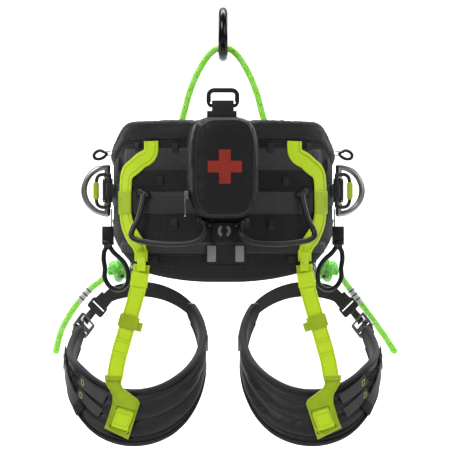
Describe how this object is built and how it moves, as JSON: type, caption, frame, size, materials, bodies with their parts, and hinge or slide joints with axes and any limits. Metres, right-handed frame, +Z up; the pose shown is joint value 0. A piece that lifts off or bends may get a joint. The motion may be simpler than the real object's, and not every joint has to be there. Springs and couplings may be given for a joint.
{
  "type": "tree climbing saddle",
  "caption": "Padded tree climbing saddle with belt, leg loops, rope bridge with ring, side D-rings, gear loops and a first aid pouch, articulated.",
  "frame": {"origin": "centre of the waist opening, half way up the back of the belt", "axes": "+X to the wearer's right, +Y forwards, +Z up"},
  "size_m": [0.575, 0.3069, 0.7002],
  "materials": {
    "foam": "matt",
    "shell_fabric": "ribbed, matt",
    "liner_mesh": "mesh",
    "rim_fabric": "smooth, slight sheen",
    "grey_webbing": "woven, slight sheen",
    "black_webbing": "woven",
    "label": "matt with two reflective fields",
    "black_plastic": "satin",
    "buckle_metal": "satin",
    "bright_metal": "satin",
    "bridge_rope": "braided",
    "black_ring": "satin, black anodised",
    "pouch_fabric": "fine weave",
    "yellow_webbing": "woven",
    "yellow_plastic": "satin",
    "polished_aluminium": "polished",
    "black_cord": "braided",
    "black_rubber": "satin",
    "leg_fabric": "fine weave with channels"
  },
  "bodies": {
    "belt": {"waist_foam": "foam", "waist_shell": "shell_fabric", "waist_liner": "liner_mesh", "upper_rim": "rim_fabric", "load_webbing": "grey_webbing", "daisy_loops": "black_webbing", "yoke_strap_left": "yellow_webbing", "yoke_strap_right": "yellow_webbing", "yoke_keeper_left": "yellow_webbing", "yoke_keeper_right": "yellow_webbing", "size_label": "label", "tag_pocket": "black_plastic", "gear_loop_tabs": "black_webbing", "d_ring_bracket_left": "black_webbing", "d_ring_bracket_right": "black_webbing", "hip_webbing_left": "grey_webbing", "hip_webbing_right": "grey_webbing", "bridge_eye_left": "bright_metal", "bridge_eye_right": "bright_metal", "front_webbing": "grey_webbing", "belt_buckle_female": "buckle_metal", "belt_buckle_male": "buckle_metal"},
    "buckle_lever_upper": {"belt_buckle_lever_upper": "bright_metal"},
    "buckle_lever_lower": {"belt_buckle_lever_lower": "bright_metal"},
    "bridge": {"bridge_rope": "bridge_rope"},
    "ring": {"bridge_ring": "black_ring"},
    "tail_left": {"rope_tail_left": "bridge_rope"},
    "tail_right": {"rope_tail_right": "bridge_rope"},
    "pouch": {"pouch_body": "pouch_fabric", "pouch_hanger": "black_webbing"},
    "handle": {"pouch_handle": "black_plastic"},
    "slider": {"zip_slider": "bright_metal"},
    "pull": {"zip_pull": "bright_metal"},
    "d_ring_left": {"d_ring_left": "polished_aluminium"},
    "tool_loop_left": {"tool_loop_left": "black_cord", "tool_loop_sleeve_left": "yellow_plastic"},
    "accessory_cord_left": {"accessory_cord_left": "black_cord"},
    "rear_gear_loop_left": {"rear_gear_loop_left": "black_rubber"},
    "side_gear_loop_left": {"side_gear_loop_left": "black_rubber"},
    "leg_left": {"leg_pad_left": "leg_fabric", "leg_strap_left": "grey_webbing", "leg_buckle_frame_left": "bright_metal", "leg_riser_left": "yellow_webbing", "leg_fork_left": "yellow_plastic"},
    "leg_buckle_tee_left": {"leg_buckle_tee_left": "buckle_metal"},
    "riser_adjuster_left": {"riser_adjuster_left": "yellow_plastic"},
    "d_ring_right": {"d_ring_right": "polished_aluminium"},
    "tool_loop_right": {"tool_loop_right": "black_cord", "tool_loop_sleeve_right": "yellow_plastic"},
    "accessory_cord_right": {"accessory_cord_right": "black_cord"},
    "rear_gear_loop_right": {"rear_gear_loop_right": "black_rubber"},
    "side_gear_loop_right": {"side_gear_loop_right": "black_rubber"},
    "leg_right": {"leg_pad_right": "leg_fabric", "leg_strap_right": "grey_webbing", "leg_buckle_frame_right": "bright_metal", "leg_riser_right": "yellow_webbing", "leg_fork_right": "yellow_plastic"},
    "leg_buckle_tee_right": {"leg_buckle_tee_right": "buckle_metal"},
    "riser_adjuster_right": {"riser_adjuster_right": "yellow_plastic"}
  },
  "joints": [
    {"name": "bridge_swing", "type": "hinge", "parent": "belt", "child": "bridge", "pos_m": [0, 0.112, -0.112], "axis": [-1, 0, 0], "range_deg": [0, 110]},
    {"name": "ring_tilt", "type": "hinge", "parent": "bridge", "child": "ring", "pos_m": [0, 0.07, 0.2535], "axis": [-1, 0, 0], "range_deg": [-90, 90]},
    {"name": "tail_swing_left", "type": "hinge", "parent": "belt", "child": "tail_left", "pos_m": [-0.198, 0.112, -0.112], "axis": [1, 0, 0], "range_deg": [-60, 60]},
    {"name": "tail_swing_right", "type": "hinge", "parent": "belt", "child": "tail_right", "pos_m": [0.198, 0.112, -0.112], "axis": [1, 0, 0], "range_deg": [-60, 60]},
    {"name": "pouch_swing", "type": "hinge", "parent": "belt", "child": "pouch", "pos_m": [0, -0.131, 0.124], "axis": [-1, 0, 0], "range_deg": [0, 60]},
    {"name": "pouch_handle_tilt", "type": "hinge", "parent": "pouch", "child": "handle", "pos_m": [0, -0.15, 0.143], "axis": [-1, 0, 0], "range_deg": [-40, 40]},
    {"name": "zip_slide", "type": "slide", "parent": "pouch", "child": "slider", "axis": [0, 0, 1], "range_m": [-0.015, 0.09]},
    {"name": "zip_pull_swing", "type": "hinge", "parent": "slider", "child": "pull", "pos_m": [-0.0566, -0.162, 0.0106], "axis": [0, 1, 0], "range_deg": [0, 100]},
    {"name": "buckle_lever_press_upper", "type": "hinge", "parent": "belt", "child": "buckle_lever_upper", "pos_m": [0.0275, 0.098, 0.0027], "axis": [0, -1, 0], "range_deg": [0, 3.5], "stiffness_Nm_per_rad": 0.5},
    {"name": "buckle_lever_press_lower", "type": "hinge", "parent": "belt", "child": "buckle_lever_lower", "pos_m": [0.0275, 0.098, -0.0467], "axis": [0, 1, 0], "range_deg": [0, 3.5], "stiffness_Nm_per_rad": 0.5},
    {"name": "d_ring_swing_left", "type": "hinge", "parent": "belt", "child": "d_ring_left", "pos_m": [-0.1855, 0.008, 0.0185], "axis": [0, 0, 1], "range_deg": [-60, 40]},
    {"name": "tool_loop_swing_left", "type": "hinge", "parent": "belt", "child": "tool_loop_left", "pos_m": [-0.179, -0.034, 0.017], "axis": [0, 0, 1], "range_deg": [-25, 60]},
    {"name": "accessory_cord_lift_left", "type": "hinge", "parent": "belt", "child": "accessory_cord_left", "pos_m": [-0.185, -0.011, 0.077], "axis": [0, 1, 0], "range_deg": [0, 50]},
    {"name": "rear_gear_loop_lift_left", "type": "hinge", "parent": "belt", "child": "rear_gear_loop_left", "pos_m": [-0.121, -0.102, 0.012], "axis": [-0.8567, 0.3066, 0.4148], "range_deg": [0, 35]},
    {"name": "side_gear_loop_swing_left", "type": "hinge", "parent": "belt", "child": "side_gear_loop_left", "pos_m": [-0.185, 0.014, -0.066], "axis": [1, 0, 0], "range_deg": [-25, 25]},
    {"name": "leg_swing_left", "type": "hinge", "parent": "belt", "child": "leg_left", "pos_m": [-0.125, -0.098, -0.098], "axis": [-0.2353, 0.963, -0.1313], "range_deg": [-4, 18]},
    {"name": "leg_buckle_tee_tilt_left", "type": "hinge", "parent": "leg_left", "child": "leg_buckle_tee_left", "pos_m": [-0.19995, 0.07207, -0.16387], "axis": [0.6471, 0.3568, -0.6737], "range_deg": [0, 20]},
    {"name": "riser_adjuster_slide_left", "type": "slide", "parent": "leg_left", "child": "riser_adjuster_left", "axis": [-0.2822, 0, -0.9594], "range_m": [-0.014, 0.014]},
    {"name": "d_ring_swing_right", "type": "hinge", "parent": "belt", "child": "d_ring_right", "pos_m": [0.1855, 0.008, 0.0185], "axis": [0, 0, -1], "range_deg": [-60, 40]},
    {"name": "tool_loop_swing_right", "type": "hinge", "parent": "belt", "child": "tool_loop_right", "pos_m": [0.179, -0.034, 0.017], "axis": [0, 0, -1], "range_deg": [-25, 60]},
    {"name": "accessory_cord_lift_right", "type": "hinge", "parent": "belt", "child": "accessory_cord_right", "pos_m": [0.185, -0.011, 0.077], "axis": [0, -1, 0], "range_deg": [0, 50]},
    {"name": "rear_gear_loop_lift_right", "type": "hinge", "parent": "belt", "child": "rear_gear_loop_right", "pos_m": [0.121, -0.102, 0.012], "axis": [-0.8567, -0.3066, -0.4148], "range_deg": [0, 35]},
    {"name": "side_gear_loop_swing_right", "type": "hinge", "parent": "belt", "child": "side_gear_loop_right", "pos_m": [0.185, 0.014, -0.066], "axis": [1, 0, 0], "range_deg": [-25, 25]},
    {"name": "leg_swing_right", "type": "hinge", "parent": "belt", "child": "leg_right", "pos_m": [0.125, -0.098, -0.098], "axis": [-0.2353, -0.963, 0.1313], "range_deg": [-4, 18]},
    {"name": "leg_buckle_tee_tilt_right", "type": "hinge", "parent": "leg_right", "child": "leg_buckle_tee_right", "pos_m": [0.19995, 0.07207, -0.16387], "axis": [0.6471, -0.3568, 0.6737], "range_deg": [0, 20]},
    {"name": "riser_adjuster_slide_right", "type": "slide", "parent": "leg_right", "child": "riser_adjuster_right", "axis": [0.2822, 0, -0.9594], "range_m": [-0.014, 0.014]}
  ]
}
